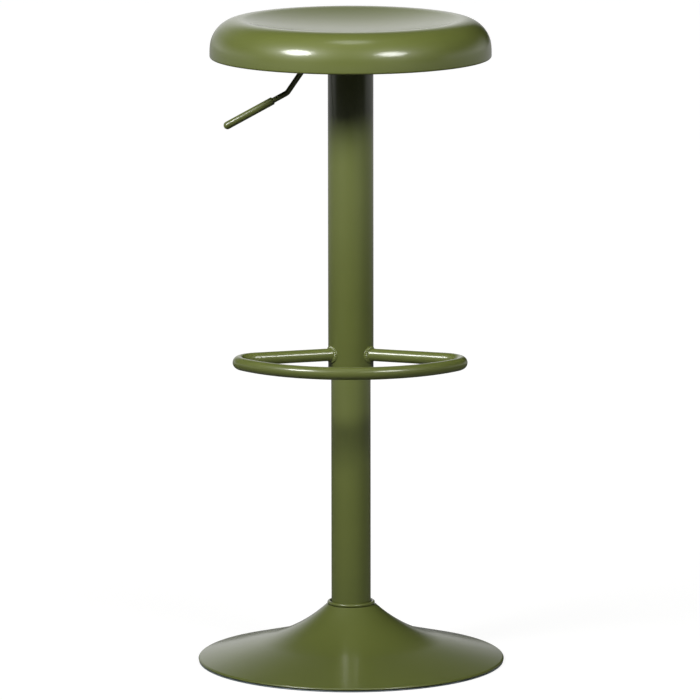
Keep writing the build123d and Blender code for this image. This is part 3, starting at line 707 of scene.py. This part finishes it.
def studio_world():
    """White to the camera; reflections see a lit cloth behind, pale walls low beside it and a dark room."""
    world = bpy.data.worlds.new("studio")
    world.use_nodes = True
    tree = world.node_tree
    tree.nodes.clear()
    rays = add(tree, "ShaderNodeLightPath").outputs
    sky = add(tree, "ShaderNodeTexCoord").outputs["Generated"]
    way = add(tree, "ShaderNodeSeparateXYZ", {"Vector": sky}).outputs
    aside = add(tree, "ShaderNodeMath", {0: way["X"]}, operation="ABSOLUTE").outputs["Value"]
    directions = {"right": way["X"], "back": way["Y"], "up": way["Z"], "aside": aside}
    room = 0.0
    for light, fades in ((CLOTH_LIGHT, CLOTH_FADES), (WALL_LIGHT, WALL_FADES)):
        lit = light
        for direction, dark, full in fades:
            stretch = {"Value": directions[direction], "From Min": dark, "From Max": full}
            fade = add(tree, "ShaderNodeMapRange", stretch).outputs["Result"]
            lit = add(tree, "ShaderNodeMath", {0: lit, 1: fade}, operation="MULTIPLY").outputs["Value"]
        room = add(tree, "ShaderNodeMath", {0: room, 1: lit}, operation="ADD").outputs["Value"]
    straight = {0: rays["Is Camera Ray"], 1: rays["Is Transmission Ray"]}
    seen = add(tree, "ShaderNodeMath", straight, operation="MAXIMUM").outputs["Value"]
    soft = add(tree, "ShaderNodeMix", {"Factor": rays["Is Glossy Ray"], "A": ROOM_LIGHT, "B": room})
    level = add(tree, "ShaderNodeMix", {"Factor": seen, "A": soft.outputs["Result"], "B": 1.0})
    back = add(tree, "ShaderNodeBackground", {
        "Color": linear("#FFFFFF"), "Strength": level.outputs["Result"],
    })
    add(tree, "ShaderNodeOutputWorld", {"Surface": back.outputs["Background"]})
    bpy.context.scene.world = world


def white_studio_paper():
    """Seamless white paper: white to the camera, darkened only by the stool's soft shadow."""
    material, tree, shader, place = bare_material("white_studio_paper")
    rays = add(tree, "ShaderNodeLightPath").outputs
    # Paper tooth of 0.2 mm, drawn at 3 mm.
    tooth = add(tree, "ShaderNodeTexNoise", {"Vector": place, "Scale": per_metre(3), "Detail": 2.0})
    skin = add(tree, "ShaderNodeBump", {
        "Height": tooth.outputs["Fac"], "Strength": 0.1, "Distance": 0.1 * MM,
    })
    away = add(tree, "ShaderNodeVectorMath", {0: place}, operation="LENGTH").outputs["Value"]
    # The lamps light the paper near the stool; further off its own glow makes up for them.
    glow = add(tree, "ShaderNodeMapRange", {
        "Value": away, "From Min": PAPER_LIT, "From Max": PAPER_UNLIT,
        "To Min": PAPER_LIT_GLOW, "To Max": 1.0,
    }).outputs["Result"]
    # Still further off the paper glows, a painted glow that only the enamel's reflections see; no lamp
    # stands there.
    far = add(tree, "ShaderNodeMapRange", {
        "Value": away, "From Min": PAPER_MIRROR_START, "From Max": PAPER_MIRROR_FULL,
        "To Min": 0.0, "To Max": PAPER_MIRROR_GLOW,
    }).outputs["Result"]
    painted_reflection_glow = add(tree, "ShaderNodeMath", {0: rays["Is Glossy Ray"], 1: far}, operation="MULTIPLY")
    shown = add(tree, "ShaderNodeMath", {0: rays["Is Camera Ray"], 1: glow, 2: painted_reflection_glow.outputs["Value"]},
                operation="MULTIPLY_ADD")
    connect(tree, shader, {
        "Base Color": linear("#767674"), "Roughness": 0.9, "Specular IOR Level": 0.1,
        "Normal": skin.outputs["Normal"],
        "Emission Color": linear("#FFFFFF"), "Emission Strength": shown.outputs["Value"],
    })
    return material


def paper_floor():
    """Square of paper that reaches well past the picture."""
    half = PAPER_WIDTH / 2
    square = [(-half, -half, 0), (half, -half, 0), (half, half, 0), (-half, half, 0)]
    mesh = bpy.data.meshes.new("paper_floor")
    mesh.from_pydata(square, [], [(0, 1, 2, 3)])
    floor = bpy.data.objects.new("paper_floor", mesh)
    bpy.context.collection.objects.link(floor)
    coat(floor, white_studio_paper())


def camera():
    """The photograph's place and lens: a long lens from the front, looking a little down."""
    lens = bpy.data.cameras.new("camera")
    lens.lens = CAMERA_LENS
    lens.sensor_width = CAMERA_FILM
    eye = bpy.data.objects.new("camera", lens)
    bpy.context.collection.objects.link(eye)
    round_column = Matrix.Rotation(radians(CAMERA_AZIMUTH), 4, "Z")
    place = Matrix.Translation((CAMERA_ASIDE, -CAMERA_DISTANCE, CAMERA_HEIGHT))
    tilt = Matrix.Rotation(radians(CAMERA_PITCH), 4, "X") @ Matrix.Rotation(radians(CAMERA_ROLL), 4, "Z")
    eye.matrix_world = round_column @ place @ tilt
    bpy.context.scene.camera = eye


slot_finish = {
    "olive_paint": olive_stove_enamel(),
    "black_steel": black_dip_paint(),
    "zinc_steel": bright_zinc_plate(),
    "bearing_steel": ground_steel(),
    "cast_iron": sand_cast_iron(),
    "alloy": turned_aluminium(),
    "rubber": moulded_rubber(),
    "soft_vinyl": grey_soft_vinyl(),
    "bush_plastic": black_acetal(),
}
for part in frame["record"]["subparts"]:
    coat(frame["nodes"][part["node"]], slot_finish[part["material_slot"]])
for make in (seat_pressing, base_trumpet, stand_column, column_sleeve, collar_bead, foot_bar, weld_beads,
             lever_bar, lever_handle):
    coat(make(), slot_finish["olive_paint"])
coat(floor_gasket(), slot_finish["soft_vinyl"])
coat(bolts("lift_plate_bolts", "plate_bolts", "seat", askew=30), slot_finish["zinc_steel"])
coat(bolts("ballast_hex_bolts", "ballast_bolts", "base", askew=15), slot_finish["zinc_steel"])

paper_floor()
studio_world()
softbox("left_softbox", azimuth=46.7, elevation=32.1, width=1.16, height=0.92, power=13.4)
softbox("right_softbox", azimuth=-36.3, elevation=29.7, width=1.14, height=0.80, power=7.3)
softbox("top_softbox", azimuth=0, elevation=85, width=1.0, height=1.0, power=1.1)
camera()
bpy.context.scene.view_settings.view_transform = "Standard"
